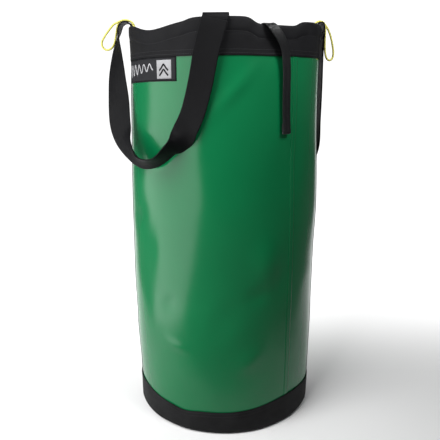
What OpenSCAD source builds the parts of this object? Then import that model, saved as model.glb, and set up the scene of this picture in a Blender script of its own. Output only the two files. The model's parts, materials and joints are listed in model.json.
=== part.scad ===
// Rope storage bag: a tall round bag of coated fabric that stands open on its own.
// A black collar with a drawstring hem closes the top, and a black band and disc make the base.
// Two webbing handles and two yellow haul loops hang over the rim on opposite sides.
// +Z is up, the origin is the middle of the base, and -Y is the front.
// Angles round the bag are counted from the front, positive towards +X.

/* [Bag] */
// Outer radius of the coated fabric tube
bag_r = 155; // [145:1:165]
// Height of the rim above the floor
bag_h = 646; // [560:1:700]
// Thickness of the coated fabric and of the collar fabric
fabric_t = 1.4; // [1:0.1:1.6]
// Clearance between two layers that lie on each other
layer_gap = 0.2; // [0.1:0.05:0.25]
// Angle of the vertical lap seam
seam_az = 41; // [35:1:60]
// Width of the lap seam
seam_w = 10; // [6:1:14]

/* [Collar and drawstring] */
// Height of the single-layer part of the collar
collar_h = 24; // [18:1:30]
// Height of the folded hem that holds the drawstring
hem_h = 24; // [20:1:28]
// Thickness of the hem from its inner to its outer face
hem_t = 7; // [6:0.5:8]
// Overlap of the collar over the coated fabric
collar_lap = 8; // [6:1:12]
// Width of the drawstring tape
tape_w = 13; // [10:1:14]
// Thickness of the drawstring tape
tape_t = 1.6; // [1.2:0.1:1.8]

/* [Base] */
// Height of the black band round the base
band_h = 41; // [30:1:60]
// Radius of the rounded bottom edge
base_round = 12; // [8:1:14]
// Thickness of the base disc
base_t = 2; // [1.5:0.1:3]

/* [Straps] */
// Width of the handle webbing
strap_w = 36; // [30:1:38]
// Thickness of the handle webbing
strap_t = 2; // [1.5:0.1:2.2]
// Width of the yellow haul loop tape
loop_w = 5.5; // [4:0.5:6]
// Thickness of the yellow haul loop tape
loop_t = 3; // [2:0.5:3]

/* [Label] */
// Height of the label
label_h = 36; // [30:1:42]
// Angle of the label's left edge
label_from = -83; // [-90:1:-60]
// Angle of the label's right edge
label_to = -26.5; // [-50:0.5:-24]

/* [Hidden] */
$fn = 96;

green = [0.07, 0.40, 0.23];
black = [0.12, 0.12, 0.13];
yellow = [0.88, 0.84, 0.30];
grey = [0.68, 0.69, 0.70];

thread_t = 0.3;
thread_h = 0.8;
stitch_gap = 5;
collar_r = bag_r + layer_gap;
hem_out = collar_r + fabric_t + 0.6;
hem_in = hem_out - hem_t;
collar_z = bag_h - hem_h - collar_h;
tape_r = (hem_in + hem_out) / 2;
label_top = collar_z - 0.4;
emblem_side = 26;
emblem_az = label_to - 8;
exit_az = 22;
exit_z = bag_h - hem_h / 2 - 1;
slot_h = 3.6;
side_az = 89.5;

// Each strap route is a list of [azimuth, distance out from the tube, height above the rim,
// azimuth that the strap's outer face looks towards].
front_route = [[-4.3, 5.6, 0, -4], [-6, 6, -16, -6], [-9.5, 5.8, -47, -9.5], [-13, 5.2, -87, -13],
    [-17, 5, -123, -17], [-21.5, 5, -156, -21], [-29, 5.5, -183, -27], [-43.5, 8, -202, -38],
    [-57.5, 17.5, -181, -38], [-66, 22, -141, -28], [-73.5, 19.5, -105, -28],
    [-83, 20, -61, -45], [-87, 19, -34, -60], [-89, 17, -16, -76], [-90, 12.5, -2, -88]];
rear_route = [[175.7, 5.6, 0, 176], [173.5, 6, -18, 173.5], [170.5, 6, -46, 170.5],
    [158, 6.5, -106, 158], [149, 8, -151, 149], [137.5, 10.5, -191, 139], [125.5, 14, -217, 128],
    [114.5, 18.5, -221, 117], [106, 19.5, -191, 108], [102.5, 18, -148, 104],
    [98, 15.5, -100, 99], [94, 13.5, -50, 95], [91.5, 12.5, -21, 92], [90, 11, -3, 90]];
tail_route = [[23, 5, 3, 23], [25.5, 6.5, -6, 26], [28.5, 6.2, -18, 29], [31.5, 5.6, -32, 32],
    [33, 5, -46, 33], [34.2, 4, -70, 34], [34.6, 3.5, -95, 35], [35, 3.5, -125, 35],
    [35.4, 3.5, -156, 35]];
// A haul loop is [distance out, sideways, height above the rim] seen from its own side of the bag.
left_loop_route = [[13, 10, 8], [17, 11, 7.5], [23, 12, 4], [31, 12, -5], [38, 11, -14],
    [42.5, 9, -21], [43, 7, -28], [39, 5.5, -33], [33, 5, -33.5], [27.5, 4.5, -30],
    [24, 4, -24], [22.5, 3.5, -16], [21.5, 3, -7], [19, 2.5, 1], [14.5, 2.5, 6]];
right_loop_route = [[13, 10, 8], [17, 11, 6.5], [20, 11, 2], [22.5, 11, -8], [24.8, 10, -24],
    [26, 9, -36], [25, 8, -45], [21.5, 6.5, -49], [18.2, 5, -46], [17.4, 4, -38],
    [17.4, 3.5, -28], [17.8, 3, -14], [17.4, 2.5, -3], [14.5, 2.5, 5]];
// The sewn ends run up inside the collar to the rim, where the swinging part takes over:
// [distance out from the tube, height above the rim].
end_route = [[-5.2, -58], [-5.2, -34], [-7.8, -23], [-7.8, -4], [-6.6, 2]];
loop_end_route = [[-10.2, -40], [-10.9, -23], [-10.9, -4], [-10.6, 1]];
exit_route = [[-3.2, -13], [-6, -13], [-8.6, -9], [-8.4, -2], [-6.6, 2.5], [-3.4, 4]];
// The tie loop hangs inside, near the base: [distance out from the tube, height above the floor].
tie_route = [[-6, 96], [-8, 82], [-20, 62], [-34, 54], [-41, 62], [-36, 76], [-22, 90], [-12, 98]];
tie_az = 180;
tie_w = 20;

function unit(v) = v / norm(v);
function last(v) = len(v) - 1;
function catmull(a, b, c, d, t) =
    0.5 * (2 * b + (c - a) * t + (2 * a - 5 * b + 4 * c - d) * t * t
           + (3 * b - 3 * c + d - a) * t * t * t);
// Smooth curve through the route, with n steps between neighbouring points.
function smooth(p, n) = concat(
    [for (i = [0:last(p) - 1]) for (k = [0:n - 1])
        catmull(p[max(i - 1, 0)], p[i], p[i + 1], p[min(i + 2, last(p))], k / n)],
    [p[last(p)]]);
// Point at azimuth az, out from the tube, sideways along the rim, at height z.
function spot(az, out, side, z) =
    [side * cos(az) + (bag_r + out) * sin(az), side * sin(az) - (bag_r + out) * cos(az), z];
function facing(az) = [sin(az), -cos(az), 0];
function tangent(p, i) = unit(p[min(i + 1, last(p))] - p[max(i - 1, 0)]);
function box_section(w, t) = [[-w / 2, -t / 2], [w / 2, -t / 2], [w / 2, t / 2], [-w / 2, t / 2]];
function oval_section(w, t) = [for (a = [0:45:315]) [w / 2 * cos(a), t / 2 * sin(a)]];

// Sweeps a section along points p; look[i] is where the strap's outer face looks at p[i].
module sweep(p, look, section) {
    m = len(section);
    rings = [for (i = [0:last(p)])
        let (t = tangent(p, i), w = unit(cross(look[i], t)), n = cross(t, w))
        for (s = section) p[i] + w * s[0] + n * s[1]];
    sides = [for (i = [0:last(p) - 1]) for (j = [0:m - 1])
        let (a = i * m + j, b = i * m + (j + 1) % m)
        for (f = [[a, a + m, b], [b, a + m, b + m]]) f];
    caps = [[for (j = [0:m - 1]) j], [for (j = [m - 1:-1:0]) last(p) * m + j]];
    polyhedron(rings, concat(sides, caps));
}

// Strap on a route of [azimuth, out, height above the rim, facing].
module strap(route, width, thick, steps) {
    q = smooth(route, steps);
    sweep([for (s = q) spot(s[0], s[1], 0, bag_h + s[2])], [for (s = q) facing(s[3])],
          box_section(width, thick));
}

// Short strap in the radial plane at azimuth az, on a route of [out, height].
module radial_strap(az, route, base_z, section, side = 0) {
    q = smooth(route, 3);
    sweep([for (s = q) spot(az, s[0], side, base_z + s[1])],
          [for (i = [0:last(q)])
              let (t = tangent(q, i)) facing(az) * t[1] + [0, 0, -t[0]]],
          section);
}

module ring(r_in, r_out, z, h) {
    rotate_extrude() translate([r_in, z]) square([r_out - r_in, h]);
}

// Piece of a ring between two azimuths.
module ring_part(r_in, r_out, z, h, from, to) {
    rotate([0, 0, from - 90])
        rotate_extrude(angle = to - from) translate([r_in, z]) square([r_out - r_in, h]);
}

module stitch_ring(r, z) ring(r + 0.05, r + 0.05 + thread_t, z, thread_h);

// ---- Tube ----
module body_panel() color(green) {
    ring(bag_r - fabric_t, bag_r, base_round + 1.5, collar_z + collar_lap - base_round - 1.5);
}

function seam_deg(w) = w / bag_r * 180 / PI;
module lap_seam_strip() color(green) {
    ring_part(bag_r + 0.1, bag_r + 0.7, band_h + 0.3, collar_z - band_h - 0.6,
              seam_az, seam_az + seam_deg(seam_w));
}
module lap_seam_stitching() color(green * 0.6) {
    for (w = [1.5, seam_w - 2.3])
        ring_part(bag_r + 0.75, bag_r + 0.75 + thread_t, band_h + 1, collar_z - band_h - 2,
                  seam_az + seam_deg(w), seam_az + seam_deg(w + thread_h));
}

// ---- Collar, hem and drawstring ----
module collar() color(black) {
    ring(collar_r, collar_r + fabric_t, collar_z, collar_h - 0.1);
}
module collar_stitching() color(black * 1.8) {
    for (k = [0, 1]) stitch_ring(collar_r + fabric_t, collar_z + 3 + k * stitch_gap);
}
module hem_outline(inset) {
    r = hem_t / 2 - inset;
    translate([tape_r, bag_h - hem_h + hem_t / 2]) circle(r);
    translate([tape_r, bag_h - hem_t / 2]) circle(r);
    translate([tape_r - r, bag_h - hem_h + hem_t / 2]) square([2 * r, hem_h - hem_t]);
}
module rim_hem() color(black) {
    difference() {
        rotate_extrude() difference() {
            hem_outline(0);
            hem_outline(1.1);
        }
        // Slot through the inner wall where the drawstring leaves the tunnel.
        rotate([0, 0, exit_az]) translate([-tape_w / 2 - 1, -hem_in - 2, exit_z - slot_h / 2])
            cube([tape_w + 2, 4, slot_h]);
    }
}
module hem_stitching() color(black * 1.8) {
    stitch_ring(hem_out, bag_h - hem_h + 5);
}
module drawstring() color(black) {
    ring(tape_r - tape_t / 2, tape_r + tape_t / 2, exit_z - tape_w / 2, tape_w);
}
// Stitched frame round the slot, on the hem's inner face.
module drawstring_buttonhole() color(black * 1.4) {
    rotate([0, 0, exit_az]) translate([0, -hem_in + 1.2, exit_z]) rotate([90, 0, 0])
        linear_extrude(0.8) difference() {
            square([tape_w + 8, slot_h + 5], center = true);
            square([tape_w + 2, slot_h], center = true);
        }
}
module drawstring_exit() color(black) {
    radial_strap(exit_az, exit_route, bag_h, box_section(tape_w, tape_t));
}
module drawstring_tail() color(black) strap(tail_route, tape_w, tape_t, 4);
module collar_seam_tape() color(black) {
    ring(bag_r - fabric_t - 1, bag_r - fabric_t - layer_gap, collar_z - 4, 22);
}

// ---- Base ----
module base_panel() color(black) cylinder(r = collar_r + fabric_t - base_round - layer_gap, h = base_t);
module base_band() color(black) {
    r_out = collar_r + fabric_t;
    rotate_extrude() {
        translate([r_out - base_round, base_round]) intersection() {
            difference() {
                circle(base_round);
                circle(base_round - fabric_t);
            }
            translate([0, -base_round]) square(base_round);
        }
        translate([collar_r, base_round]) square([fabric_t, band_h - base_round]);
    }
}
module band_stitching() color(black * 1.8) {
    for (k = [0, 1]) stitch_ring(collar_r + fabric_t, band_h - 3 - k * stitch_gap);
}
module base_seam_tape() color(black) {
    ring(bag_r - fabric_t - 1.2, bag_r - fabric_t - layer_gap, base_round - 2, 22);
}

module side_webbing(az) {
    half = seam_deg(strap_w / 2);
    ring_part(bag_r + 0.1, bag_r + 1.3, band_h + 0.3, collar_z - band_h - 0.6, az - half, az + half);
}
module side_webbing_left() color(black) side_webbing(side_az - 180);
module side_webbing_right() color(black) side_webbing(side_az);

// ---- Label ----
module label_patch() color(black * 1.5) {
    ring_part(bag_r + 0.1, bag_r + 0.7, label_top - label_h, label_h, label_from, label_to);
}
module label_border() color(black) {
    r = bag_r + 0.75;
    z = label_top - label_h;
    edge = seam_deg(1.5);
    for (h = [0.5, label_h - 2]) ring_part(r, r + 0.3, z + h, 1.5, label_from + edge, label_to - edge);
    for (a = [label_from, label_to - edge]) ring_part(r, r + 0.3, z + 0.5, label_h - 1, a, a + edge - 0.05);
}
module label_emblem() color(grey) {
    half = seam_deg(emblem_side / 2);
    ring_part(bag_r + 0.75, bag_r + 1.05, label_top - label_h / 2 - emblem_side / 2, emblem_side,
              emblem_az - half, emblem_az + half);
}

// ---- Handles ----
module handle_end(az) radial_strap(az, end_route, bag_h, box_section(strap_w, strap_t));
module front_handle() color(black) strap(front_route, strap_w, strap_t, 4);
module front_handle_ends() color(black) {
    handle_end(front_route[0][0]);
    handle_end(-90);
}
module rear_handle() color(black) strap(rear_route, strap_w, strap_t, 4);
module rear_handle_ends() color(black) {
    handle_end(rear_route[0][0]);
    handle_end(90);
}
// Stitched boxes on the sewn ends, low inside the collar.
module bartack(az) {
    side = strap_w - 8;
    rotate([0, 0, az]) translate([0, -bag_r + 6.45, bag_h - 54]) rotate([90, 0, 0])
        linear_extrude(0.3) translate([-side / 2, 0]) difference() {
            square([side, 18]);
            translate([1, 1]) square([side - 2, 16]);
        }
}
module handle_bartacks() color(black * 2.2) {
    for (az = [front_route[0][0], -90, rear_route[0][0], 90]) bartack(az);
}

// ---- Haul loops ----
module haul_loop(az, route) {
    q = smooth(route, 4);
    sweep([for (s = q) spot(az, s[0], s[1], bag_h + s[2])],
          [for (i = [0:last(q)])
              let (t = tangent(q, i)) facing(az) * -t[2] + [0, 0, t[0]]],
          oval_section(loop_w, loop_t));
}
module haul_loop_left() color(yellow) haul_loop(-90, left_loop_route);
module haul_loop_right() color(yellow) haul_loop(90, right_loop_route);
module haul_loop_ends() color(yellow) {
    for (az = [-90, 90]) for (side = [3, 10])
        radial_strap(az, loop_end_route, bag_h, oval_section(loop_w, loop_t), side);
}

// ---- Tie loop inside ----
module rope_tie_loop() color(black) {
    radial_strap(tie_az, tie_route, 0, box_section(tie_w, strap_t));
}
module rope_tie_tab() color(black) {
    rotate([0, 0, tie_az]) translate([-tie_w / 2, -bag_r + fabric_t + 0.9, 100])
        cube([tie_w, strap_t, 34]);
}

body_panel();
lap_seam_strip();
lap_seam_stitching();
collar();
collar_stitching();
rim_hem();
hem_stitching();
drawstring();
drawstring_buttonhole();
drawstring_exit();
drawstring_tail();
collar_seam_tape();
base_panel();
base_band();
band_stitching();
base_seam_tape();
side_webbing_left();
side_webbing_right();
label_patch();
label_border();
label_emblem();
front_handle();
front_handle_ends();
rear_handle();
rear_handle_ends();
handle_bartacks();
haul_loop_left();
haul_loop_right();
haul_loop_ends();
rope_tie_loop();
rope_tie_tab();
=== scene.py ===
"""Rope storage bag: the looks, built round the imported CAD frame. Metres, +Z up, -Y is the front."""
import json
import math

import bmesh
import bpy
import numpy as np
from mathutils import Vector
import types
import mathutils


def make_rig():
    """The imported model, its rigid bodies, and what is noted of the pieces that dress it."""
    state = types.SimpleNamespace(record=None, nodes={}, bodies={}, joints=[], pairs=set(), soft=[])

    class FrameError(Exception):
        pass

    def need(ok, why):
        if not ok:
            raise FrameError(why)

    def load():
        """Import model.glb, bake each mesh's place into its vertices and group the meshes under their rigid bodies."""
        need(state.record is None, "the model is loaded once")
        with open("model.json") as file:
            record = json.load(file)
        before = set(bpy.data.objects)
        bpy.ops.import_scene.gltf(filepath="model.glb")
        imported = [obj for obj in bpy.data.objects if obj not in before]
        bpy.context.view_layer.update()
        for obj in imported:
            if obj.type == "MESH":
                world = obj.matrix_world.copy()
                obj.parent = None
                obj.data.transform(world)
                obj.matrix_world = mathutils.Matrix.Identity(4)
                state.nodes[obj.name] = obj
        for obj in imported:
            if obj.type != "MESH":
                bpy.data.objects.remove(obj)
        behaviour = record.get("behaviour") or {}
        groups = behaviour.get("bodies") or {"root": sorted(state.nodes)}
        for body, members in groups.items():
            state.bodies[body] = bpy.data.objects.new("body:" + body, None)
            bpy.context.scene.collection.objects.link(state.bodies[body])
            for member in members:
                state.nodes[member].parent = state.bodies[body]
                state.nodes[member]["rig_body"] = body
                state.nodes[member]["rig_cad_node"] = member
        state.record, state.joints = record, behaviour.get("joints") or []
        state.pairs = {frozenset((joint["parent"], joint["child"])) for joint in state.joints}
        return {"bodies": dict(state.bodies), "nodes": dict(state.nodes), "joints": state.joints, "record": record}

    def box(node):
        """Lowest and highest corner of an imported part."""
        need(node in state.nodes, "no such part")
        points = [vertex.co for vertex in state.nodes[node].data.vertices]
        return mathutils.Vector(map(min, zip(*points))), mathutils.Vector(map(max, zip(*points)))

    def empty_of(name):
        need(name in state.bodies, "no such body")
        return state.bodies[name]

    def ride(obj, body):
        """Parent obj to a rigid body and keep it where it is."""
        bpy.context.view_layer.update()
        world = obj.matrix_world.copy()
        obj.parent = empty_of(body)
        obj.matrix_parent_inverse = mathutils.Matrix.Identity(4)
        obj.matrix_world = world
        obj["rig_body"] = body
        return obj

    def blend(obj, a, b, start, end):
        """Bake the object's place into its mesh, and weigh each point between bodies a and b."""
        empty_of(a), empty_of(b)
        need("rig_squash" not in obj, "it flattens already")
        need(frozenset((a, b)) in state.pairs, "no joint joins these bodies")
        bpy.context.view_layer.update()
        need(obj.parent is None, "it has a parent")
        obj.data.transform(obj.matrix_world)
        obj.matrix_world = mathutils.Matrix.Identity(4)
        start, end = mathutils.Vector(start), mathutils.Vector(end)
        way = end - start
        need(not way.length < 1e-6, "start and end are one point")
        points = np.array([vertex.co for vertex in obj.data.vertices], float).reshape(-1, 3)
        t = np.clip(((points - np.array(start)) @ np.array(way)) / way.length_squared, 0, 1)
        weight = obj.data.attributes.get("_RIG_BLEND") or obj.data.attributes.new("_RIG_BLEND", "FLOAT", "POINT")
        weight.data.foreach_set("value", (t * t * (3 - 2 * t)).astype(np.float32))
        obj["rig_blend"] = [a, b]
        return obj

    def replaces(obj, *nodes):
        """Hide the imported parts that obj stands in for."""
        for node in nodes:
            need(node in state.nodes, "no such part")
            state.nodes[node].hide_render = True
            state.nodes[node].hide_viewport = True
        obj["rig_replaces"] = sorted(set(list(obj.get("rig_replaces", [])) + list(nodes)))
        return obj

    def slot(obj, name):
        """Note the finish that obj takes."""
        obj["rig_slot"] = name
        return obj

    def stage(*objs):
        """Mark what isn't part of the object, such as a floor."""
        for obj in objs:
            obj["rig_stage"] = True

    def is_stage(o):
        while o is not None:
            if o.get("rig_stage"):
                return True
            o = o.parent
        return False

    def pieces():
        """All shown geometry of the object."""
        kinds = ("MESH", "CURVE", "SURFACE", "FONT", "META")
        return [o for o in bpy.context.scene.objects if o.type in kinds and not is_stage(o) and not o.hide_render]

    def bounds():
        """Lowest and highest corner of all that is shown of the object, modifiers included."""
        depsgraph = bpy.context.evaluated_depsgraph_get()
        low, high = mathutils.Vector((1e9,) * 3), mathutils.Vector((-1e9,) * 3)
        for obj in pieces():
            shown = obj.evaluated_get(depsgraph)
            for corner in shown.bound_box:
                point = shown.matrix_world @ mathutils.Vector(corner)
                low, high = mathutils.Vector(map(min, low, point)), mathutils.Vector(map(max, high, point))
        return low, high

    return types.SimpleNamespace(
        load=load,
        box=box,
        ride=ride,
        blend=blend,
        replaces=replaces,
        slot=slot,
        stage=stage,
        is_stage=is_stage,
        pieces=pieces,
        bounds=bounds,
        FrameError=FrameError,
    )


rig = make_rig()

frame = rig.load()
cad_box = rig.bounds()

MM = 0.001

# ---- Sizes: the radius and main heights taken from the frame, the rest given ----
tube_low, tube_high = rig.box("body_panel")
R = (tube_high[0] - tube_low[0]) / 2
RIM_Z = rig.box("rim_hem")[1][2]
COLLAR_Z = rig.box("collar")[0][2]
BAND_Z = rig.box("base_band")[1][2]
TUBE_LOW, TUBE_TOP = tube_low[2], tube_high[2]
LABEL_LOW, LABEL_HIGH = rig.box("label_patch")[0][2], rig.box("label_patch")[1][2]
FABRIC = 1.4 * MM
STRAP_W, STRAP_T = 36 * MM, 2 * MM
TAPE_W, TAPE_T = 14.5 * MM, 1.6 * MM
LOOP_W, LOOP_T = 6.2 * MM, 3.2 * MM
SEAM_AZ, SEAM_W = 41.0, 10 * MM
LABEL_FROM, LABEL_TO = -83.0, -26.5
EXIT_AZ = 22.0
COLUMNS = 480


# ---- Camera ----
def make_camera():
    data = bpy.data.cameras.new("camera")
    data.sensor_width = 36
    data.lens = 45.14
    data.shift_x = -0.01
    cam = bpy.data.objects.new("camera", data)
    cam.location = (0, -6.09 * R, 3.657 * R)
    cam.rotation_euler = (math.radians(90 - 14.36), 0, 0)
    bpy.context.collection.objects.link(cam)
    bpy.context.scene.camera = cam


make_camera()


# ---- Materials ----
class Look:
    """A principled material with a few node helpers. Inputs are numbers or sockets."""

    def __init__(self, name, color, roughness, specular):
        self.mat = bpy.data.materials.new(name)
        self.mat.use_nodes = True
        self.mat.diffuse_color = (*color, 1)
        self.tree = self.mat.node_tree
        self.bsdf = self.tree.nodes["Principled BSDF"]
        self.bsdf.inputs["Base Color"].default_value = (*color, 1)
        self.bsdf.inputs["Roughness"].default_value = roughness
        self.bsdf.inputs["Specular IOR Level"].default_value = specular
        self.color, self.roughness = color, roughness

    def add(self, kind, **inputs):
        node = self.tree.nodes.new(kind)
        for key, value in inputs.items():
            self.feed(node.inputs[key.replace("_", " ")], value)
        return node

    def feed(self, socket, value):
        if isinstance(value, bpy.types.NodeSocket):
            self.tree.links.new(value, socket)
        else:
            socket.default_value = value

    def math(self, operation, a, b=0.0):
        node = self.tree.nodes.new("ShaderNodeMath")
        node.operation = operation
        self.feed(node.inputs[0], a)
        self.feed(node.inputs[1], b)
        return node.outputs[0]

    def metres(self):
        node = self.tree.nodes.new("ShaderNodeUVMap")
        node.uv_map = "metres"
        split = self.add("ShaderNodeSeparateXYZ", Vector=node.outputs[0])
        return split.outputs[0], split.outputs[1]

    def wave(self, value, pitch):
        return self.math("SINE", self.math("MULTIPLY", value, 2 * math.pi / pitch))

    def noise(self, scale, detail=3.0, rough=0.5):
        place = self.tree.nodes.new("ShaderNodeTexCoord")
        node = self.add("ShaderNodeTexNoise", Vector=place.outputs["Object"], Scale=scale, Detail=detail)
        node.inputs["Roughness"].default_value = rough
        return node.outputs[0]

    def spread(self, value, low, high):
        node = self.tree.nodes.new("ShaderNodeMapRange")
        self.feed(node.inputs["Value"], value)
        node.inputs["From Min"].default_value = 0.3
        node.inputs["From Max"].default_value = 0.7
        node.inputs["To Min"].default_value = low
        node.inputs["To Max"].default_value = high
        return node.outputs[0]

    def tint(self, amount, scale=9.0):
        """Base colour a little lighter and darker from place to place."""
        node = self.tree.nodes.new("ShaderNodeHueSaturation")
        self.feed(node.inputs["Value"], self.spread(self.noise(scale), 1 - amount, 1 + amount))
        node.inputs["Color"].default_value = (*self.color, 1)
        self.feed(self.bsdf.inputs["Base Color"], node.outputs[0])

    def wear(self, amount, scale=14.0):
        self.feed(self.bsdf.inputs["Roughness"],
                  self.spread(self.noise(scale), self.roughness - amount, self.roughness + amount))

    def bump(self, *layers):
        """Layers of (height socket, depth in metres)."""
        normal = None
        for height, depth in layers:
            node = self.add("ShaderNodeBump", Height=height, Distance=depth)
            if normal is not None:
                self.feed(node.inputs["Normal"], normal)
            normal = node.outputs[0]
        self.feed(self.bsdf.inputs["Normal"], normal)

    def sheen(self, weight, roughness):
        self.bsdf.inputs["Sheen Weight"].default_value = weight
        self.bsdf.inputs["Sheen Roughness"].default_value = roughness


def coated(name, color, roughness, specular):
    """PVC-coated fabric: smooth, with a faint grain and the weave showing through."""
    look = Look(name, color, roughness, specular)
    u, v = look.metres()
    weave = look.math("MULTIPLY", look.wave(u, 1.5 * MM), look.wave(v, 1.5 * MM))
    look.bump((weave, 0.006 * MM), (look.noise(260.0), 0.03 * MM))
    look.tint(0.04)
    look.wear(0.04)
    return look.mat


def woven(name, color, roughness, specular, pitch, depth, tint=0.16):
    """Plain-woven nylon."""
    look = Look(name, color, roughness, specular)
    u, v = look.metres()
    weave = look.math("MULTIPLY", look.wave(u, pitch), look.wave(v, pitch))
    look.bump((weave, depth), (look.noise(120.0), 0.25 * MM))
    look.tint(tint, 30.0)
    look.wear(0.06)
    return look.mat


def webbing(name, color, roughness, specular, pitch, depth, sheen=0.05):
    """Webbing and tape: a herringbone along the length, u across the width."""
    look = Look(name, color, roughness, specular)
    u, v = look.metres()
    lean = look.math("PINGPONG", u, 3 * MM)
    rib = look.wave(look.math("ADD", v, lean), pitch)
    fill = look.wave(u, 1.1 * MM)
    look.bump((look.math("ADD", rib, fill), depth), (look.noise(90.0), 2 * depth))
    look.tint(0.14, 24.0)
    look.wear(0.05)
    look.sheen(sheen, 0.45)
    return look.mat


def thread(name, color):
    look = Look(name, color, 0.6, 0.35)
    u, v = look.metres()
    look.bump((look.wave(look.math("ADD", u, v), 0.5 * MM), 0.03 * MM))
    look.tint(0.1, 60.0)
    return look.mat


GREEN = coated("coated_green", (0.002, 0.122, 0.040), 0.22, 0.33)
COLLAR = woven("collar_cloth", (0.0092, 0.0092, 0.0102), 0.6, 0.07, 1.1 * MM, 0.05 * MM)
BASE = woven("base_cloth", (0.0082, 0.0082, 0.0088), 0.6, 0.1, 1.8 * MM, 0.16 * MM, 0.45)
WEBBING = webbing("black_webbing", (0.0036, 0.0036, 0.0042), 0.48, 0.08, 1.8 * MM, 0.06 * MM, 0.0)
TAPE = webbing("black_tape", (0.0046, 0.0048, 0.0054), 0.36, 0.42, 1.4 * MM, 0.05 * MM, 0.0)
YELLOW = webbing("yellow_tape", (0.62, 0.58, 0.14), 0.5, 0.15, 1.2 * MM, 0.015 * MM)
LABEL = woven("label_cloth", (0.0145, 0.015, 0.017), 0.6, 0.1, 0.7 * MM, 0.03 * MM)
EDGE = woven("label_edge", (0.005, 0.005, 0.006), 0.6, 0.08, 0.7 * MM, 0.03 * MM)
PRINT = woven("label_print", (0.30, 0.30, 0.31), 0.6, 0.1, 0.7 * MM, 0.03 * MM)
GREEN_THREAD = thread("green_thread", (0.010, 0.085, 0.03))
BLACK_THREAD = thread("black_thread", (0.014, 0.014, 0.016))


# ---- Mesh helpers ----
def unit(v):
    v = np.asarray(v, float)
    return v / np.maximum(np.linalg.norm(v, axis=-1, keepdims=True), 1e-12)


def polar(az, r, z):
    """Points at azimuth az (degrees from the front, positive towards +X), radius r and height z."""
    a = np.radians(az)
    return np.stack(np.broadcast_arrays(r * np.sin(a), -r * np.cos(a), z), -1)


def ease(x):
    x = np.clip(x, 0.0, 1.0)
    return x ** 3 * (x * (6 * x - 15) + 10)


def turn(a, b):
    """Signed angle from azimuth b to azimuth a."""
    return (np.asarray(a) - b + 180) % 360 - 180


def hill(x):
    return np.exp(-np.square(x))


def hills(seed, across, up, height):
    """Smooth seeded relief round the bag, from -1 to 1: across x up bumps over that height."""
    grid = np.random.RandomState(seed).uniform(-1, 1, (across, up + 2))

    def at(az, z):
        a = np.asarray(az) % 360 / 360 * across
        b = np.clip(np.asarray(z) / height, 0, 1) * up
        a, b = np.broadcast_arrays(a, b)
        i, j = np.floor(a).astype(int), np.floor(b).astype(int)
        s, t = ease(a - i), ease(b - j)
        low = grid[i % across, j] * (1 - s) + grid[(i + 1) % across, j] * s
        high = grid[i % across, j + 1] * (1 - s) + grid[(i + 1) % across, j + 1] * s
        return low * (1 - t) + high * t
    return at


def smooth(points, steps):
    """Catmull-Rom curve through the rows of points, with steps between neighbours."""
    p = np.asarray(points, float)
    p = np.vstack([2 * p[0] - p[1], p, 2 * p[-1] - p[-2]])
    t = (np.arange(steps) / steps)[:, None]
    out = []
    for a, b, c, d in zip(p, p[1:], p[2:], p[3:]):
        out.append(0.5 * (2 * b + (c - a) * t + (2 * a - 5 * b + 4 * c - d) * t ** 2
                          + (3 * b - 3 * c + d - a) * t ** 3))
    return np.vstack(out + [p[-2][None]])


def lengths(points):
    return np.concatenate([[0], np.cumsum(np.linalg.norm(np.diff(points, axis=0), axis=1))])


def piece(name, verts, faces, uvs, material, slot):
    """A linked mesh object. uvs has one entry for each face corner; faces with over 4 corners stay flat."""
    mesh = bpy.data.meshes.new(name)
    mesh.from_pydata([tuple(v) for v in verts], [], faces)
    layer = mesh.uv_layers.new(name="metres")
    layer.data.foreach_set("uv", np.asarray(uvs, np.float32).ravel())
    work = bmesh.new()
    work.from_mesh(mesh)
    bmesh.ops.recalc_face_normals(work, faces=work.faces)
    work.to_mesh(mesh)
    work.free()
    for poly in mesh.polygons:
        poly.use_smooth = len(poly.vertices) <= 4
    mesh.materials.append(material)
    obj = bpy.data.objects.new(name, mesh)
    bpy.context.collection.objects.link(obj)
    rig.slot(obj, slot)
    return obj


def grid_faces(rings, uv, loop):
    n, m = rings.shape[:2]
    count = n if loop else n - 1
    i, j = np.meshgrid(np.arange(count), np.arange(m), indexing="ij")
    i2, j2 = (i + 1) % n, (j + 1) % m
    faces = np.stack([i * m + j, i * m + j2, i2 * m + j2, i2 * m + j], -1).reshape(-1, 4).tolist()
    corners = np.stack([uv[i, j], uv[i, j + 1], uv[i + 1, j + 1], uv[i + 1, j]], 2).reshape(-1, 2)
    if not loop:
        faces += [list(range(m)), [(n - 1) * m + k for k in range(m)]]
        corners = np.vstack([corners, uv[0, :m], uv[n - 1, :m]])
    return faces, corners


def skin(name, rings, uv, material, slot, loop=False):
    """Closed surface over rings of points (rings x points x 3). It is capped at both ends, or made a loop."""
    rings = np.asarray(rings, float)
    faces, corners = grid_faces(rings, uv, loop)
    return piece(name, rings.reshape(-1, 3), faces, corners, material, slot)


def round_shell(name, profile, material, slot, columns=COLUMNS):
    """Closed skin round the whole bag. profile(az) gives radii and heights (points x columns), in a loop."""
    az = np.arange(columns) * 360.0 / columns - 180
    r, z = profile(az)
    rings = polar(az, r, z)
    step = lengths(rings[:, 0])
    step = np.append(step, step[-1] + np.linalg.norm(rings[0, 0] - rings[-1, 0]))
    around = np.radians(np.append(az, 180.0)) * R
    uv = np.stack(np.meshgrid(step, around, indexing="ij")[::-1], -1)
    return skin(name, rings, uv, material, slot, loop=True)


def stack(columns, *rows):
    """Rows of one number or one per column, as an array."""
    return np.stack([np.broadcast_to(np.asarray(row, float), (columns,)) for row in rows])


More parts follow.
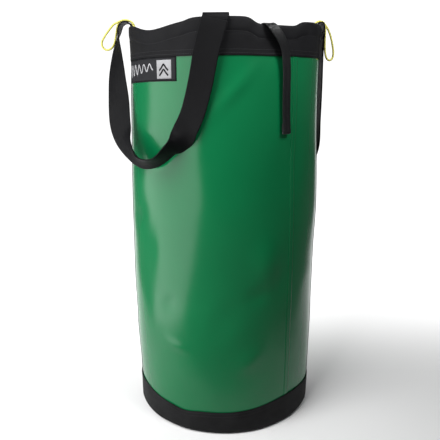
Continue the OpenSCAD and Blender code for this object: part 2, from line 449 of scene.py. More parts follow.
def patch(name, base, az, z, out, thick, material, slot, bevel=0.4 * MM):
    """Flat piece of cloth lying on the bag: az and z are its grid lines, base(az, z) the radius under it."""
    az, z = np.asarray(az, float), np.asarray(z, float)
    inset = np.degrees(bevel / R)
    front = np.concatenate([[az[0], az[0] + inset / 2], az[1:-1], [az[-1] - inset / 2, az[-1]]])
    lift = np.full(len(front), thick)
    lift[[0, -1]] = thick * 0.4
    back = front[::-1]
    around = np.concatenate([front, back])
    height = np.concatenate([lift, np.zeros(len(back))])
    rings = []
    for row in z:
        shade = thick * 0.55 if row in (z[0], z[-1]) else thick
        h = np.minimum(height, shade)
        rings.append(polar(around, base(around, row) + out + h, row))
    across = np.radians(np.append(around, around[0])) * R
    uv = np.stack(np.meshgrid(z, across, indexing="ij")[::-1], -1)
    return skin(name, rings, uv, material, slot)


def section(width, thick, columns=9):
    """Outline of a strap: flat faces, rounded edges."""
    flat = np.linspace(-width / 2 + thick / 2, width / 2 - thick / 2, columns)
    arc = np.radians([60, 25, -25, -60])
    edge = np.stack([width / 2 - thick / 2 + thick / 2 * np.cos(arc), thick / 2 * np.sin(arc)], -1)
    face = np.stack([flat, np.full(columns, thick / 2)], -1)
    half = np.vstack([face, edge])
    return np.vstack([half, -half])


def oval(width, thick, count=14):
    a = np.arange(count) * 2 * math.pi / count
    return np.stack([width / 2 * np.cos(a), thick / 2 * np.sin(a)], -1)


class Strap:
    """A strap swept once along its whole path, then cut into pieces that share their end rings."""

    def __init__(self, centre, look, outline, curl=None):
        self.centre = np.asarray(centre, float)
        along = unit(np.gradient(self.centre, axis=0))
        side = unit(np.cross(look, along))
        out = np.cross(along, side)
        s, t = outline[:, 0], outline[:, 1]
        width = np.abs(s).max()
        bow = np.zeros(len(self.centre)) if curl is None else np.asarray(curl, float)
        lift = t[None] + bow[:, None] * (s[None] / width) ** 2
        self.rings = (self.centre[:, None] + side[:, None] * s[None, :, None] + out[:, None] * lift[..., None])
        across = np.append(s, s[0])
        self.uv = np.stack(np.meshgrid(lengths(self.centre), across, indexing="ij")[::-1], -1)

    def cut(self, name, first, last, material, slot):
        return skin(name, self.rings[first:last + 1], self.uv[first:last + 1], material, slot)


def stitches(name, lines, material, slot, pitch=3.6 * MM, length=2.7 * MM, thick=0.5 * MM):
    """Rows of single stitches. Each line is (points, outward directions) along the seam."""
    ring = np.array([[0, -0.5], [0.87, 0], [0.5, 0.6], [-0.5, 0.6], [-0.87, 0]]) * thick * 0.62
    verts, faces, corners = [], [], []
    steps = np.array([-0.5, -0.3, 0.3, 0.5])
    scale = np.array([0.45, 1.0, 1.0, 0.45])
    m = len(ring)
    for points, outward in lines:
        points, outward = np.asarray(points, float), unit(outward)
        s = lengths(points)
        total = int(s[-1] / pitch)
        for k in range(total):
            where = (k + 0.5) * pitch + steps * length
            p = np.stack([np.interp(where, s, points[:, c]) for c in range(3)], -1)
            n = unit(np.stack([np.interp(where, s, outward[:, c]) for c in range(3)], -1))
            t = unit(p[-1] - p[0])
            w = np.cross(n, t)
            p = p - n * (np.abs(steps) > 0.4)[:, None] * thick * 0.35
            round_it = w[:, None] * ring[None, :, :1] + n[:, None] * ring[None, :, 1:]
            block = p[:, None] + round_it * scale[:, None, None]
            base = len(verts)
            verts += list(block.reshape(-1, 3))
            uv = np.stack(np.meshgrid(where, np.arange(m + 1) * thick * 0.6, indexing="ij")[::-1], -1)
            f, c = grid_faces(block, uv, False)
            faces += [[q + base for q in face] for face in f]
            corners.append(c)
    return piece(name, verts, faces, np.vstack(corners), material, slot)


def on_bag(obj, *nodes, body="bag"):
    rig.ride(obj, body)
    if nodes:
        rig.replaces(obj, *nodes)
    return obj


# ---- The bag's own surface: everything else lies on it ----
broad = hills(3, 8, 5, 0.65)
small = hills(5, 17, 11, 0.65)
# Soft dents: azimuth, height, half width in degrees, half height, how far the cloth stands out, lean in
# degrees per millimetre. Lengths are in millimetres.
DENTS = [(25, 290, 8, 35, 3.8, 0.0), (20, 240, 7, 15, -1.8, 0.1), (35, 260, 5, 25, -1.6, 0.0),
         (15, 130, 8, 20, 2.5, 0.1), (5, 550, 5, 30, 2.5, 0.3), (30, 610, 10, 20, -2.2, 0.2),
         (-35, 220, 5, 15, -2.0, 0.1), (-30, 150, 7, 8, 1.5, -0.3), (-65, 350, 9, 20, -2.6, 0.2),
         (-50, 300, 6, 35, -1.0, 0.1), (-80, 75, 9, 40, -1.0, 0.0), (-80, 230, 25, 140, 3.5, 0.0),
         (85, 340, 25, 120, 2.5, 0.0), (60, 220, 10, 60, -1.8, 0.0), (-10, 410, 9, 45, 1.3, -0.1),
         (0, 200, 8, 30, -1.6, 0.1), (40, 440, 10, 40, -2.2, 0.0), (65, 420, 10, 80, -1.4, 0.0),
         (90, 610, 20, 70, 2.0, 0.0), (120, 300, 15, 90, -2.8, 0.0), (-140, 360, 15, 80, -2.7, 0.0),
         (165, 200, 20, 50, -2.6, 0.0)]


def base_r(az, z):
    """Radius of the tube's outer face."""
    az, z = np.broadcast_arrays(np.asarray(az, float), np.asarray(z, float))
    r = R * (1 - 0.018 * hill(z / 0.10) - 0.026 * hill((0.66 - z) / 0.17))
    r = r + (1.9 * broad(az, z) + 0.6 * small(az, z)) * MM
    for a, height, wide, tall, depth, lean in DENTS:
        up = z / MM - height
        r = r + depth * MM * hill(turn(az, a + lean * up) / wide) * hill(up / tall)
    return r


def shelf(az, start, end, soft):
    """1 between two azimuths and 0 outside them, with soft ends."""
    a = turn(az, 0)
    return (np.tanh((a - start) / soft) - np.tanh((a - end) / soft)) / 2


def rim_z(az):
    """The cloth stands up in a shelf at the front, and sags beside the front handle and behind the tail."""
    raised = 3.5 * shelf(az, -20, 15, 3) + 3 * hill(turn(az, 65) / 15)
    sagging = 11 * hill(turn(az, -45) / 18) + 6.5 * shelf(az, 15, 45, 3)
    wander = 2.5 * np.sin(np.radians(4 * turn(az, 0))) * (1 - hill(turn(az, 0) / 110))
    return RIM_Z + (raised - sagging + wander) * MM


def band_z(az):
    """The band's upper edge climbs at both sides and dips a little left of the middle."""
    return BAND_Z + (7 * hill(turn(az, -65) / 20) - 4 * hill(turn(az, -25) / 8) + 9 * hill(turn(az, 45) / 25)) * MM


gathers = hills(11, 64, 3, 0.06)
folds = hills(12, 23, 2, 0.06)


def collar_r(az, z):
    """Middle of the collar's cloth: it flares a little towards the rim and is pinched by the tunnel's seam."""
    seam = rim_z(az) - 19.5 * MM
    up = np.clip((z - COLLAR_Z) / (RIM_Z - COLLAR_Z), 0, 1.2)
    r = base_r(az, z) + (0.95 + 1.6 * up) * MM
    r = r + (0.55 * folds(az, z - COLLAR_Z) * (0.4 + up) + 0.35 * gathers(az, z - COLLAR_Z) * up) * MM
    r = r + 0.8 * MM * hill(turn(az, 72) / 0.9) - 0.35 * MM * hill((z - seam) / (1.8 * MM))
    return r


def cloth(name, middle, thick, material, slot, columns=COLUMNS):
    """Sheet with two faces along a path of points middle(az) -> (radii, heights), for every azimuth."""
    def profile(az):
        r, z = middle(az)
        dr, dz = np.gradient(r, axis=0), np.gradient(z, axis=0)
        size = np.maximum(np.hypot(dr, dz), 1e-9)
        nr, nz = dz / size, -dr / size
        half = np.full(len(r), thick / 2)
        half[[0, -1]] *= 0.45
        half = half[:, None]
        front_r, front_z = r + nr * half, z + nz * half
        back_r, back_z = r - nr * half, z - nz * half
        return np.vstack([front_r, back_r[::-1]]), np.vstack([front_z, back_z[::-1]])
    return round_shell(name, profile, material, slot, columns)


# ---- Tube ----
def tube_profile(az):
    z = np.concatenate([[TUBE_LOW], TUBE_LOW + np.array([0.4, 2]) * MM,
                        np.linspace(TUBE_LOW + 6 * MM, TUBE_TOP - 3 * MM, 140),
                        [TUBE_TOP - 0.3 * MM, TUBE_TOP]])
    outer = np.stack([base_r(az, h) for h in z])
    outer[[0, -1]] -= 0.3 * MM
    inner = outer - FABRIC
    inner[[0, -1]] += 0.6 * MM
    keep = np.r_[0:3, 3:len(z) - 3:3, len(z) - 3:len(z)]
    heights = stack(len(az), *z)
    return np.vstack([outer, inner[keep][::-1]]), np.vstack([heights, heights[keep][::-1]])


on_bag(round_shell("tube", tube_profile, GREEN, "coated_fabric"), "body_panel")

seam_deg = np.degrees(SEAM_W / R)
low, high = BAND_Z - 2 * MM, COLLAR_Z + 3 * MM
flap = patch("seam_flap", base_r, SEAM_AZ + np.linspace(0, seam_deg, 8), np.linspace(low, high, 120),
             0.02 * MM, 0.6 * MM, GREEN, "coated_fabric")
on_bag(flap, "lap_seam_strip")


def upright(az, z0, z1, out):
    z = np.linspace(z0, z1, 160)
    return polar(az, base_r(az, z) + out, z), polar(az, np.ones(len(z)), 0 * z)


lines = [upright(SEAM_AZ + np.degrees(d * MM / R), BAND_Z + 12 * MM, COLLAR_Z - 2 * MM, 0.68 * MM)
         for d in (2.0, 8.0)]
on_bag(stitches("seam_stitches", lines, GREEN_THREAD, "green_thread"), "lap_seam_stitching")


# ---- Collar and drawstring hem: one cloth folded over the tunnel ----
def collar_edge(az):
    return COLLAR_Z + (0.5 * folds(az + 40, 0.01) - 4.6 * hill(turn(az, -92) / 38)) * MM


def collar_middle(az):
    top, low = rim_z(az), collar_edge(az)
    seam = top - 19.5 * MM
    rows_r, rows_z = [], []

    def row(r, z):
        rows_r.append(np.broadcast_to(r, az.shape))
        rows_z.append(np.broadcast_to(z, az.shape))

    for f in (0, 0.02, 0.1, 0.2, 0.3, 0.4, 0.5, 0.6, 0.7, 0.8, 0.88, 0.94):
        z = low + (seam - low) * f
        row(collar_r(az, z), z)
    puff = (0.7 + 0.5 * gathers(az + 90, 0.02)) * MM
    for f in (0, 0.1, 0.22, 0.36, 0.5, 0.64, 0.78, 0.9):
        z = seam + (top - 3.5 * MM - seam) * f
        row(collar_r(az, z) + puff * math.sin(math.pi * (0.1 + 0.8 * f)) ** 0.7 * min(1, f * 5), z)
    crest_r = collar_r(az, top - 3.5 * MM) + 0.3 * MM
    for a in (10, 35, 60, 90, 120, 145, 170):
        c, s = math.cos(math.radians(a)), math.sin(math.radians(a))
        row(crest_r - 2.85 * MM + 2.85 * MM * c, top - 3.5 * MM + 2.85 * MM * s)
    for f in (0.1, 0.25, 0.45, 0.65, 0.82):
        z = top - 3.5 * MM + (seam - top + 3.5 * MM) * f
        row(crest_r - 5.7 * MM - 0.4 * MM * math.sin(math.pi * f), z)
    for f, z in ((0.35, seam), (0.8, seam - 1.5 * MM), (1, seam - 3 * MM), (1, seam - 4.5 * MM)):
        row(crest_r - 5.7 * MM + (base_r(az, z) - 0.9 * MM - crest_r + 5.7 * MM) * f, z)
    return np.stack(rows_r), np.stack(rows_z)


on_bag(cloth("collar_and_hem", collar_middle, 1.2 * MM, COLLAR, "black_nylon"), "collar", "rim_hem")


def ring_line(radius, height, out):
    az = np.arange(721) * 0.5 - 180
    z = height(az)
    return polar(az, radius(az, z) + out, z), polar(az, np.ones(len(az)), 0 * z)


collar_out = 0.72 * MM
rows = [ring_line(collar_r, lambda az, up=up: collar_edge(az) + up * MM, collar_out) for up in (3.0, 8.0)]
on_bag(stitches("collar_stitches", rows, BLACK_THREAD, "black_thread"), "collar_stitching")
rows = [ring_line(collar_r, lambda az: rim_z(az) - 19.5 * MM, collar_out)]
on_bag(stitches("hem_stitches", rows, BLACK_THREAD, "black_thread"), "hem_stitching")


def band_of_tape(radius, z0, z1, thick):
    """Middle path of a tape ring between two heights, each one number or a function of azimuth."""
    def middle(az):
        a = z0(az) if callable(z0) else z0
        b = z1(az) if callable(z1) else z1
        z = np.stack([np.broadcast_to(a + (b - a) * f, az.shape) for f in (0, 0.03, 0.3, 0.5, 0.7, 0.97, 1)])
        return np.broadcast_to(radius(az[None], z), z.shape), z
    return middle


drawstring_ring = cloth("drawstring_ring", band_of_tape(
    lambda az, z: collar_r(az, rim_z(az) - 3.5 * MM) - 2.4 * MM,
    lambda az: rim_z(az) - 16.8 * MM, lambda az: rim_z(az) - 4.2 * MM, TAPE_T),
    1.2 * MM, TAPE, "black_webbing", 240)
on_bag(drawstring_ring, "drawstring")
tape = cloth("collar_seam_tape", band_of_tape(lambda az, z: base_r(az, z) - FABRIC - 0.75 * MM,
                                              COLLAR_Z - 5 * MM, COLLAR_Z + 10 * MM, 1),
             0.9 * MM, TAPE, "black_webbing", 240)
on_bag(tape, "collar_seam_tape")
tape = cloth("base_seam_tape", band_of_tape(lambda az, z: base_r(az, z) - FABRIC - 0.75 * MM,
                                            TUBE_LOW + 3 * MM, TUBE_LOW + 25 * MM, 1),
             0.9 * MM, TAPE, "black_webbing", 240)
on_bag(tape, "base_seam_tape")


# ---- Base ----
lumps = hills(21, 30, 2, 0.05)
bulges = hills(22, 9, 1, 0.05)


def foot_r(az, z):
    return base_r(az, z) + (1.1 + 0.6 * lumps(az, z) + 1.0 * bulges(az, z) * hill(z / (25 * MM))) * MM


def foot_middle(az):
    top = band_z(az)
    wall = [top + (15 * MM - top) * f for f in (0.1, 0.25, 0.4, 0.55, 0.7, 0.85, 1)]
    z = [top, top - 0.8 * MM] + wall + [10 * MM + 0 * az]
    r = [foot_r(az, h) for h in z]
    turn_r = 6 * MM + 1.5 * MM * bulges(az + 70, 0.02)
    corner = foot_r(az, 6 * MM)
    floor = 0.65 * MM
    for a in (12, 26, 40, 54, 68, 80, 90):
        c, s = math.cos(math.radians(a)), math.sin(math.radians(a))
        r.append(corner - turn_r + turn_r * c)
        z.append(floor + turn_r * (1 - s))
    r += [corner - 16 * MM + 0 * az, 132 * MM + 0 * az]
    z += [floor + 0 * az, floor + 0 * az]
    return np.stack(r), np.stack([np.broadcast_to(h, az.shape) for h in z])


on_bag(cloth("base_band", foot_middle, 1.3 * MM, BASE, "base_fabric"), "base_band")
rows = [ring_line(foot_r, lambda az, d=d: band_z(az) - d * MM, 0.75 * MM) for d in (3.0, 8.0)]
on_bag(stitches("band_stitches", rows, BLACK_THREAD, "black_thread"), "band_stitching")


def disc_profile(az):
    r = np.array([0.2, 20, 50, 80, 105, 125, 138, 141.5, 142]) * MM
    top = 3.0 * MM + 0 * r
    top[-1] = 2.4 * MM
    radius = stack(len(az), *r, *r[::-1])
    height = stack(len(az), *top, 1.9 * MM, *([1.4 * MM] * (len(r) - 1)))
    return radius, height


on_bag(round_shell("base_panel", disc_profile, BASE, "base_fabric", 240), "base_panel")


# ---- Side webbing, label ----
for side, az in (("left", -89.5), ("right", 89.5)):
    half = np.degrees(STRAP_W / 2 / R)
    strip = patch("side_webbing_" + side, base_r, np.linspace(az - half, az + half, 16),
                  np.linspace(BAND_Z - 3 * MM, COLLAR_Z + 4 * MM, 110), 0.02 * MM, 1.0 * MM, WEBBING, "black_webbing")
    on_bag(strip, "side_webbing_" + side)


LABEL_H = LABEL_HIGH - LABEL_LOW - 1.4 * MM


def label_lean(az):
    """How far the label stands above its level place: its upper edge is tucked under the collar."""
    return 1.35 * (collar_edge(az) - COLLAR_Z) + 2.6 * MM


def label_piece(name, az, up, out, thick, material, slot, bevel=0.2 * MM):
    """Cloth on the label: up runs from its lower edge, which follows the collar."""
    def base(a, z):
        return base_r(a, z) + out
    obj = patch(name, base, az, LABEL_LOW + np.asarray(up), 0, thick, material, slot, bevel)
    for vert in obj.data.vertices:
        vert.co.z += float(label_lean(np.array([math.degrees(math.atan2(vert.co.x, -vert.co.y))]))[0])
    return obj


on_bag(label_piece("label", np.linspace(LABEL_FROM, LABEL_TO, 70), np.linspace(0, LABEL_H, 24), 0.05 * MM, 0.75 * MM,
                   LABEL, "label_fabric", 0.4 * MM), "label_patch")
edge_deg = np.degrees(1.8 * MM / R)
rise, side_rise = 0.5 * MM + np.linspace(0, 1.8, 4) * MM, np.linspace(2.5 * MM, LABEL_H - 2.5 * MM, 14)
wide = np.linspace(LABEL_FROM + 0.3, LABEL_TO - 0.2, 70)
edges = [(wide, LABEL_H - 2.8 * MM + rise), (wide, rise),
         (np.linspace(LABEL_TO - 0.2 - edge_deg, LABEL_TO - 0.2, 4), side_rise),
         (np.linspace(LABEL_FROM + 0.3, LABEL_FROM + 0.3 + edge_deg, 4), side_rise)]
for k, (az, up) in enumerate(edges):
    strip = label_piece("label_edge_%d" % (k + 1), az, up, 0.82 * MM, 0.25 * MM, EDGE, "label_fabric")
    on_bag(strip, *(["label_border"] if k == 0 else []))
on_bag(label_piece("emblem", np.linspace(-40.2, -29.7, 14), np.linspace(LABEL_H - 31.0 * MM, LABEL_H - 4.9 * MM, 12),
                   0.82 * MM, 0.28 * MM, PRINT, "label_print"), "label_emblem")


def stroke(name, points, width, out, material, slot):
    """Thin flat mark on the bag along points of (azimuth, height)."""
    p = smooth(points, 4)
    centre = polar(p[:, 0], base_r(p[:, 0], p[:, 1]) + out, p[:, 1] + label_lean(p[:, 0]))
    mark = Strap(centre, polar(p[:, 0], np.ones(len(p)), 0 * p[:, 1]), section(width, 0.3 * MM, 4))
    return on_bag(mark.cut(name, 0, len(p) - 1, material, slot))


mid_z = LABEL_LOW + LABEL_H - 18 * MM
for k, drop in enumerate((3.5, -3.5)):
    stroke("emblem_mark_%d" % (k + 1), [(-38.2, mid_z - (5 + drop) * MM), (-36.6, mid_z - (1 + drop) * MM),
                                        (-35.0, mid_z + (3.5 - drop) * MM), (-33.4, mid_z - (1 + drop) * MM),
                                        (-31.8, mid_z - (5 + drop) * MM)], 2.6 * MM, 1.25 * MM, EDGE, "label_fabric")
waves = [(-76 + 1.3 * k, LABEL_LOW + (17 + 0.15 * k + (9.5 - 0.2 * k) * math.sin(k * 1.45)) * MM) for k in range(26)]
stroke("label_wave", waves, 2.2 * MM, 0.95 * MM, PRINT, "label_print")


# ---- Straps ----
def path_of(rows, steps=6):
    """Centre points and look directions from rows of [azimuth, out from the tube, height above the rim,
    azimuth the face looks towards, its tilt: 0 level, 90 up, 180 inwards]."""
    p = smooth(rows, steps)
    centre = polar(p[:, 0], R + p[:, 1] * MM, RIM_Z + p[:, 2] * MM)
    tilt = np.radians(p[:, 4])[:, None]
    look = np.cos(tilt) * polar(p[:, 3], np.ones(len(p)), 0 * p[:, 3]) + np.sin(tilt) * np.array([0, 0, 1.0])
    return centre, look


def crest_in(az, rows):
    return [[az, out, up, az, tilt] for out, up, tilt in rows]


LOW_CREST = [(-5.4, -58, 180), (-5.4, -34, 180), (-7.6, -22, 180), (-7.6, -7, 178), (-7.0, -0.5, 165),
             (-4.2, 4.9, 125), (0, 6.9, 92), (3.4, 5.2, 55)]
HIGH_CREST = [(11.5, 5, 40), (6.5, 8.4, 75), (0.5, 8.2, 98), (-4.2, 5.6, 128), (-7.0, 0, 165),
              (-7.8, -7, 178), (-7.8, -22, 180), (-5.4, -34, 180), (-5.4, -58, 180)]
CLOSE_CREST = [(4.2, 5, 40), (1.4, 7.8, 74), (-1.8, 8.0, 100), (-5.2, 5.2, 132)] + HIGH_CREST[4:]
INNER = 3
S = 10


def handle(name, body, az0, az1, main, high_crest, high_out, curl):
    """A webbing handle: inner end, crest, free run, crest, inner end."""
    rows = crest_in(az0, LOW_CREST) + main + crest_in(az1, high_crest)
    centre, look = path_of(rows, S)
    first, last = len(LOW_CREST), len(rows) - len(high_crest) - 1
    k = np.arange(len(centre)) / S
    bow = sum(amount * hill((k - first - at) / wide) for at, wide, amount in curl) * MM
    strap = Strap(centre, look, section(STRAP_W, STRAP_T, 13), bow)
    near = (R - 6 * MM, R + 3.6 * MM)
    far = (R - 6 * MM, R + high_out * MM)
    stations = [0, INNER * S, first * S, last * S, (len(rows) - INNER - 1) * S, (len(rows) - 1) * S]
    a = strap.cut(name + "_end_low", stations[0], stations[1], WEBBING, "black_webbing")
    b = strap.cut(name + "_crest_low", stations[1], stations[2], WEBBING, "black_webbing")
    c = strap.cut(name, stations[2], stations[3], WEBBING, "black_webbing")
    d = strap.cut(name + "_crest_high", stations[3], stations[4], WEBBING, "black_webbing")
    e = strap.cut(name + "_end_high", stations[4], stations[5], WEBBING, "black_webbing")
    on_bag(a, name + "_ends")
    on_bag(e)
    on_bag(c, name, body=body)
    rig.blend(b, "bag", body, polar(az0, near[0], RIM_Z), polar(az0, near[1], RIM_Z))
    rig.blend(d, "bag", body, polar(az1, far[0], RIM_Z), polar(az1, far[1], RIM_Z))


FRONT = [[-4.5, 5, 0, -4, 10], [-6, 6, -15, -6, 0], [-9, 6, -45, -9, 0], [-12, 5, -85, -12, 0],
         [-16, 5, -125, -16, 0], [-20, 6, -150, -15, 0], [-23, 11, -168, 20, -20], [-27, 18, -180, 40, -45],
         [-33, 20, -193, 30, -65], [-41, 20, -199, -35, -60], [-49, 20, -196, -55, -30],
         [-57, 21, -183, -55, -5], [-64, 22, -165, -30, 10], [-68, 22, -145, -15, 5],
         [-73, 20, -110, -15, 0], [-80, 20, -75, -30, 0], [-85, 20, -45, -50, 0],
         [-88, 19, -20, -70, 0], [-90, 15, -2, -88, 8]]
REAR = [[175.6, 5.3, 0, 175.7, 12], [173.5, 6, -18, 173.5, 0], [170.5, 6, -46, 170.5, 0],
        [158, 6.5, -106, 158, 0], [149, 7.5, -151, 149, -6], [137.5, 11, -191, 139, -22],
        [125.5, 15, -217, 128, -38], [114.5, 16, -219, 117, -30], [106, 13.5, -191, 108, -8],
        [102.5, 10, -148, 104, 0], [98, 7.2, -100, 99, 0], [94, 4.8, -50, 95, 0], [91.8, 4.3, -21, 92, 0],
        [90.4, 4.5, -9, 90, 2], [90, 4.8, -1, 90, 10]]
handle("front_handle", "front_handle", -4.3, -90, FRONT, HIGH_CREST, 12.0,
       [(5, 0.7, 2.0), (6.5, 0.9, -2.0), (9, 2.0, 1.2), (12, 1.0, -1.5), (2.5, 2.0, 0.5)])
handle("rear_handle", "rear_handle", 175.7, 90, REAR, CLOSE_CREST, 4.8, [(6.0, 1.5, 1.6), (2.0, 2.0, 0.5)])


# ---- Haul loops: yellow tape over the end of each handle ----
def radial_path(az, rows, steps):
    """Centre and look of a tape in the radial plane at az, on rows of [out, sideways, height above the rim]."""
    p = smooth(rows, steps)
    a = math.radians(az)
    out_dir = np.array([math.sin(a), -math.cos(a), 0])
    side_dir = np.array([math.cos(a), math.sin(a), 0])
    centre = (R + p[:, :1] * MM) * out_dir + p[:, 1:2] * MM * side_dir + np.array([0, 0, 1]) * (RIM_Z + p[:, 2:] * MM)
    along = np.gradient(p, axis=0)
    look = -along[:, 2:] * out_dir + along[:, :1] * np.array([0, 0, 1.0])
    return centre, unit(look)


def over_crest(side, top, inward):
    rows = [[out, side, up] for out, up in [(-10.6, -40), (-10.9, -22), (-11.0, -8), (-10.3, 0.5)] + top]
    return rows[::-1] if inward else rows


LOOP_LEFT = [[12.5, 10.4, 9.6], [15.5, 10.8, 8.2], [19, 11.3, 6.6], [23, 12, 4], [31, 12, -5], [38, 11, -14],
             [42.5, 9, -21], [43, 7, -28], [39, 5.5, -33], [33, 5, -33.5], [27.5, 4.5, -30], [23.8, 4, -24],
             [21.6, 3.5, -16], [19.8, 3, -7], [18.4, 2.5, 0.5], [16.4, 2.5, 5.8], [12.8, 2.5, 9.3]]
LOOP_RIGHT = [[8.6, 10.4, 7.6], [12, 10.8, 3.6], [15.2, 11, -1], [18.5, 11, -8], [21.2, 11, -16], [23.5, 10, -26],
              [25, 9, -36], [24.4, 8, -44], [21, 6.5, -49], [16.2, 5, -49], [12.4, 4, -44], [10.2, 3.5, -34],
              [9.4, 3, -20], [9.2, 2.5, -8], [9.0, 2.5, 0], [7.4, 2.5, 6.2]]
TOP_LEFT, TOP_RIGHT = [(-6.6, 8.2), (0, 11.3), (7, 11.4)], [(-6.9, 8), (-1.4, 11), (4.4, 9.8)]


def haul_loop(side, az, rows, top, handle_out):
    name, body, grip = "haul_loop_" + side, "haul_loop_" + side, ("front" if side == "left" else "rear") + "_handle"
    path = over_crest(10, top, False) + rows + over_crest(2.5, top, True)
    steps = 10
    centre, look = radial_path(az, path, steps)
    tape = Strap(centre, look, oval(LOOP_W, LOOP_T))
    n = len(path) - 1
    inner, crest, free = 2, 7, 9
    for k, (a, b) in enumerate(((0, inner), (inner, crest), (crest, free), (free, n - free), (n - free, n - crest),
                                (n - crest, n - inner), (n - inner, n))):
        part = tape.cut(name if k == 3 else "%s_part_%d" % (name, k + 1), a * steps, b * steps, YELLOW, "yellow_tape")
        if k in (0, 6):
            on_bag(part, *(["haul_loop_ends"] if (side, k) == ("left", 0) else []))
        elif k in (1, 5):
            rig.blend(part, "bag", grip, polar(az, R - 6 * MM, RIM_Z), polar(az, R + handle_out * MM, RIM_Z))
        elif k in (2, 4):
            near, far = (a, b) if k == 2 else (b, a)
            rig.blend(part, grip, body, centre[near * steps], centre[far * steps])
        else:
            on_bag(part, name, body=body)


haul_loop("left", -90, LOOP_LEFT, TOP_LEFT, 12.0)
haul_loop("right", 90, LOOP_RIGHT, TOP_RIGHT, 4.8)


# ---- Drawstring tail ----
TAIL = [[22, -2.6, -16.5, 22, 150], [22, -5.4, -16.8, 22, 140], [22, -7.8, -15.5, 22, 170],
        [22, -8.2, -11.5, 22, 180], [22.1, -6.9, -7.6, 22, 135], [22.4, -3.4, -5.6, 22.4, 98],
        [22.9, 0.4, -5.6, 22.8, 78], [23.6, 3.4, -7.4, 23.6, 48], [24.8, 5.6, -10.8, 24.6, 24],
        [26.6, 6.4, -16, 26.4, 10], [28.9, 6.4, -23, 29, 4], [31.5, 5.8, -34, 32, 0], [33, 5, -47, 33, 0],
        [34, 4, -70, 34, 0], [34.3, 3.4, -95, 34.5, 0], [34.6, 3.4, -125, 35, 0], [35, 4.2, -149, 35, -2],
        [35.1, 4.6, -155, 35, -30], [35.1, 3.6, -157.2, 35, -90], [35.1, 2.4, -155.6, 35, -150],
        [35.1, 1.9, -151, 35, -178], [35, 1.7, -143, 35, -180]]
TAIL_STEPS = 8
TURN_FROM, TURN_TO = 3 * TAIL_STEPS, 8 * TAIL_STEPS
centre, look = path_of(TAIL, TAIL_STEPS)
tail = Strap(centre, look, section(TAPE_W, TAPE_T, 7), 0.35 * MM * np.sin(np.arange(len(centre)) * 0.13))
on_bag(tail.cut("tail_inner", 0, TURN_FROM, TAPE, "black_webbing"), "drawstring_exit")
turning = tail.cut("tail_turn", TURN_FROM, TURN_TO, TAPE, "black_webbing")
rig.blend(turning, "bag", "drawstring_tail", polar(22, R - 6.8 * MM, RIM_Z), polar(22, R + 4.4 * MM, RIM_Z))
on_bag(tail.cut("drawstring_tail", TURN_TO, len(centre) - 1, TAPE, "black_webbing"), "drawstring_tail",
       body="drawstring_tail")


def frame_line(az, r, z, width, height):
    a = np.linspace(0, 2 * math.pi, 60)
    across = np.degrees(width / 2 * np.cos(a) / r)
    points = polar(az + across, r, z + height / 2 * np.sin(a))
    return points, -polar(az + across, np.ones(len(a)), 0 * a)


slot_z = rim_z(np.array([EXIT_AZ]))[0] - 10 * MM
slot_r = collar_r(np.array([EXIT_AZ]), RIM_Z - 10 * MM)[0] - 6.15 * MM
rings = [frame_line(EXIT_AZ, slot_r, slot_z, w * MM, h * MM) for w, h in ((16, 4.5), (18, 6.5))]
on_bag(stitches("buttonhole", rings, BLACK_THREAD, "black_thread", 1.3 * MM, 1.1 * MM, 0.6 * MM),
       "drawstring_buttonhole")


# ---- Bartacks where the handle ends are sewn inside the collar ----
def tack(az, width, z0, z1, out):
    lines = []
    left, right = -width / 2, width / 2
    corners = [(left, z0), (right, z0), (right, z1), (left, z1), (left, z0), (right, z1)]
    for (s0, a), (s1, b) in zip(corners, corners[1:]):
        f = np.linspace(0, 1, 12)
        z = a + (b - a) * f
        angle = az + np.degrees((s0 + (s1 - s0) * f) / (R + out))
        lines.append((polar(angle, R + out, z), -polar(angle, np.ones(12), 0 * f)))
    return lines


tacks = []
for az in (-4.3, 175.7, -90, 90):
    tacks += tack(az, 26 * MM, RIM_Z - 55 * MM, RIM_Z - 37 * MM, -6.6 * MM)
on_bag(stitches("handle_bartacks", tacks, BLACK_THREAD, "black_thread", 2.6 * MM, 2.1 * MM), "handle_bartacks")


# ---- Rope tie loop inside, near the base ----
TIE = [[-2.8, 0, 98], [-5, 0, 90], [-9, 0, 78], [-20, 0, 62], [-33, 0, 55], [-40, 0, 62], [-35, 0, 76],
       [-22, 0, 90], [-12, 0, 97], [-6, 0, 99]]
centre, look = radial_path(180, [[a, b, c - RIM_Z / MM] for a, b, c in TIE], 6)
tie = Strap(centre, look, section(20 * MM, 1.8 * MM, 7))
tie_tab = patch("rope_tie_tab", lambda az, z: base_r(az, z) - FABRIC - 2.0 * MM, 180 + np.linspace(-4.6, 4.6, 8),
                np.linspace(84 * MM, 124 * MM, 12), 0, 1.4 * MM, WEBBING, "black_webbing")
on_bag(tie_tab, "rope_tie_tab")
on_bag(tie.cut("rope_tie_loop", 0, len(centre) - 1, WEBBING, "black_webbing"), "rope_tie_loop", body="rope_tie_loop")


# ---- Floor and light ----
def glow(name, strength, one_sided=False):
    mat = bpy.data.materials.new(name)
    mat.use_nodes = True
    nodes, links = mat.node_tree.nodes, mat.node_tree.links
    nodes.clear()
    light = nodes.new("ShaderNodeEmission")
    light.inputs["Strength"].default_value = strength
    end = nodes.new("ShaderNodeOutputMaterial")
    links.new(light.outputs[0], end.inputs[0])
    if one_sided:
        mix, face = nodes.new("ShaderNodeMixShader"), nodes.new("ShaderNodeNewGeometry")
        links.new(face.outputs["Backfacing"], mix.inputs[0])
        links.new(light.outputs[0], mix.inputs[1])
        links.new(nodes.new("ShaderNodeBsdfTransparent").outputs[0], mix.inputs[2])
        links.new(mix.outputs[0], end.inputs[0])
    return mat


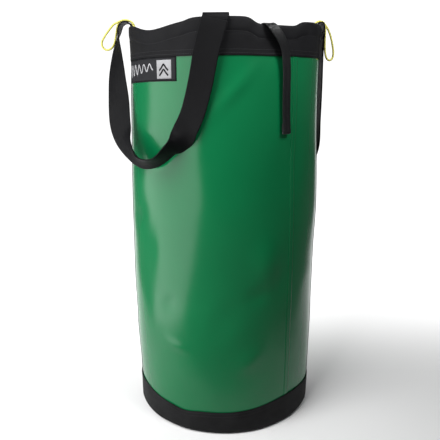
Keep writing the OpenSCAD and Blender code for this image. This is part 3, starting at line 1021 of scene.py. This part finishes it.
def sheet_of(name, rows, material):
    rows = np.asarray(rows, float)
    n, m = rows.shape[:2]
    faces = [(i * m + j, i * m + j + 1, (i + 1) * m + j + 1, (i + 1) * m + j)
             for i in range(n - 1) for j in range(m - 1)]
    mesh = bpy.data.meshes.new(name)
    mesh.from_pydata([tuple(v) for v in rows.reshape(-1, 3)], [], faces)
    mesh.materials.append(material)
    obj = bpy.data.objects.new(name, mesh)
    bpy.context.collection.objects.link(obj)
    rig.stage(obj)
    return obj


def ramp(look, value, low, high, at_low, at_high):
    node = look.tree.nodes.new("ShaderNodeMapRange")
    node.interpolation_type = "SMOOTHERSTEP"
    look.feed(node.inputs["Value"], value)
    for key, number in (("From Min", low), ("From Max", high), ("To Min", at_low), ("To Max", at_high)):
        look.feed(node.inputs[key], number)
    return node.outputs[0]


# A white paper sweep with painted light: a painted glow behind the bag, and painted shade that makes its colour darker
# at its sides and front.
floor_look = Look("floor", (0.86, 0.86, 0.86), 0.8, 0.1)
place = floor_look.tree.nodes.new("ShaderNodeTexCoord")
split = floor_look.add("ShaderNodeSeparateXYZ", Vector=place.outputs["Object"])
x_abs = floor_look.math("ABSOLUTE", split.outputs[0])
reach = floor_look.math("MULTIPLY", floor_look.math("ADD", split.outputs[1], 1.12), 0.395)
# Masks for the painted light: inside marks the floor's middle, and front is 0 near the camera. Where either is low,
# the floor gets painted shade.
inside = ramp(floor_look, floor_look.math("SUBTRACT", x_abs, reach), 0.0, 0.07, 1.0, 0.0)
front = ramp(floor_look, split.outputs[1], -0.42, -0.16, 0.0, 1.0)
unshaded = floor_look.math("MULTIPLY", inside, front)
# Painted shade: the floor's colour drops from 0.86 to 0.3 outside the masks.
painted_shade_tone = floor_look.tree.nodes.new("ShaderNodeCombineColor")
for channel in range(3):
    floor_look.feed(painted_shade_tone.inputs[channel], ramp(floor_look, unshaded, 0.0, 1.0, 0.3, 0.86))
floor_look.feed(floor_look.bsdf.inputs["Base Color"], painted_shade_tone.outputs[0])
floor_look.bsdf.inputs["Emission Color"].default_value = (1, 1, 1, 1)
# Painted glow: the floor emits light behind the bag, inside its middle.
painted_glow_behind = ramp(floor_look, split.outputs[1], -0.12, 0.5, 0.0, 0.85)
floor_look.feed(floor_look.bsdf.inputs["Emission Strength"], floor_look.math("MULTIPLY", inside, painted_glow_behind))
floor_rows = [[(x, y, -0.0005) for x in np.linspace(-5, 5, 5)] for y in np.linspace(-3, 3.2, 5)]
sheet_of("floor", floor_rows, floor_look.mat)
back_rows = [[(x, 3.1, z) for x in np.linspace(-1.75, 1.75, 5)] for z in np.linspace(-0.1, 3.5, 4)]
sheet_of("backdrop", back_rows, glow("backdrop", 1.15))
KEY_RIGHT = [(0, -66), (0.05, -50), (0.12, -40), (0.26, -29), (0.4, -28), (1.05, -28)]
KEY_LEFT = [(0, -86), (0.08, -84), (0.2, -80), (0.28, -94), (0.36, -102), (0.46, -98), (0.6, -93), (1, -92)]
key_rows = []
for f in np.linspace(0, 1, 30):
    fan = np.linspace(np.interp(f, *zip(*KEY_RIGHT)), np.interp(f, *zip(*KEY_LEFT)), 16)
    key_rows.append([tuple(polar(az, 0.42 + 0.50 * f + 0.08 * ((az + 28) / 64) ** 2, 0.01 + 0.78 * f)) for az in fan])
sheet_of("key", key_rows, glow("key", 3.2, one_sided=True))


def soft_light(name, energy, size, place, aim, spread=180):
    data = bpy.data.lights.new(name, "AREA")
    data.energy = energy
    data.size = size
    data.spread = math.radians(spread)
    lamp = bpy.data.objects.new(name, data)
    lamp.location = place
    lamp.rotation_euler = (Vector(aim) - Vector(place)).to_track_quat("-Z", "Y").to_euler()
    bpy.context.collection.objects.link(lamp)


soft_light("fill", 34, 1.0, tuple(polar(-42, 1.2, 1.7)), (0, 0, 0.4))
soft_light("top", 1.1, 0.25, (0.40, -0.46, 1.0), (0.07, -0.12, 0.68), 80)

world = bpy.data.worlds.new("world")
world.use_nodes = True
world.node_tree.nodes["Background"].inputs["Color"].default_value = (0.95, 0.98, 1.0, 1)
world.node_tree.nodes["Background"].inputs["Strength"].default_value = 0.1
bpy.context.scene.world = world
bpy.context.scene.view_settings.view_transform = "Standard"

with open("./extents.json", "w") as size_file:
    json.dump({"cad": [list(c) for c in cad_box], "visual": [list(c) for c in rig.bounds()]}, size_file)
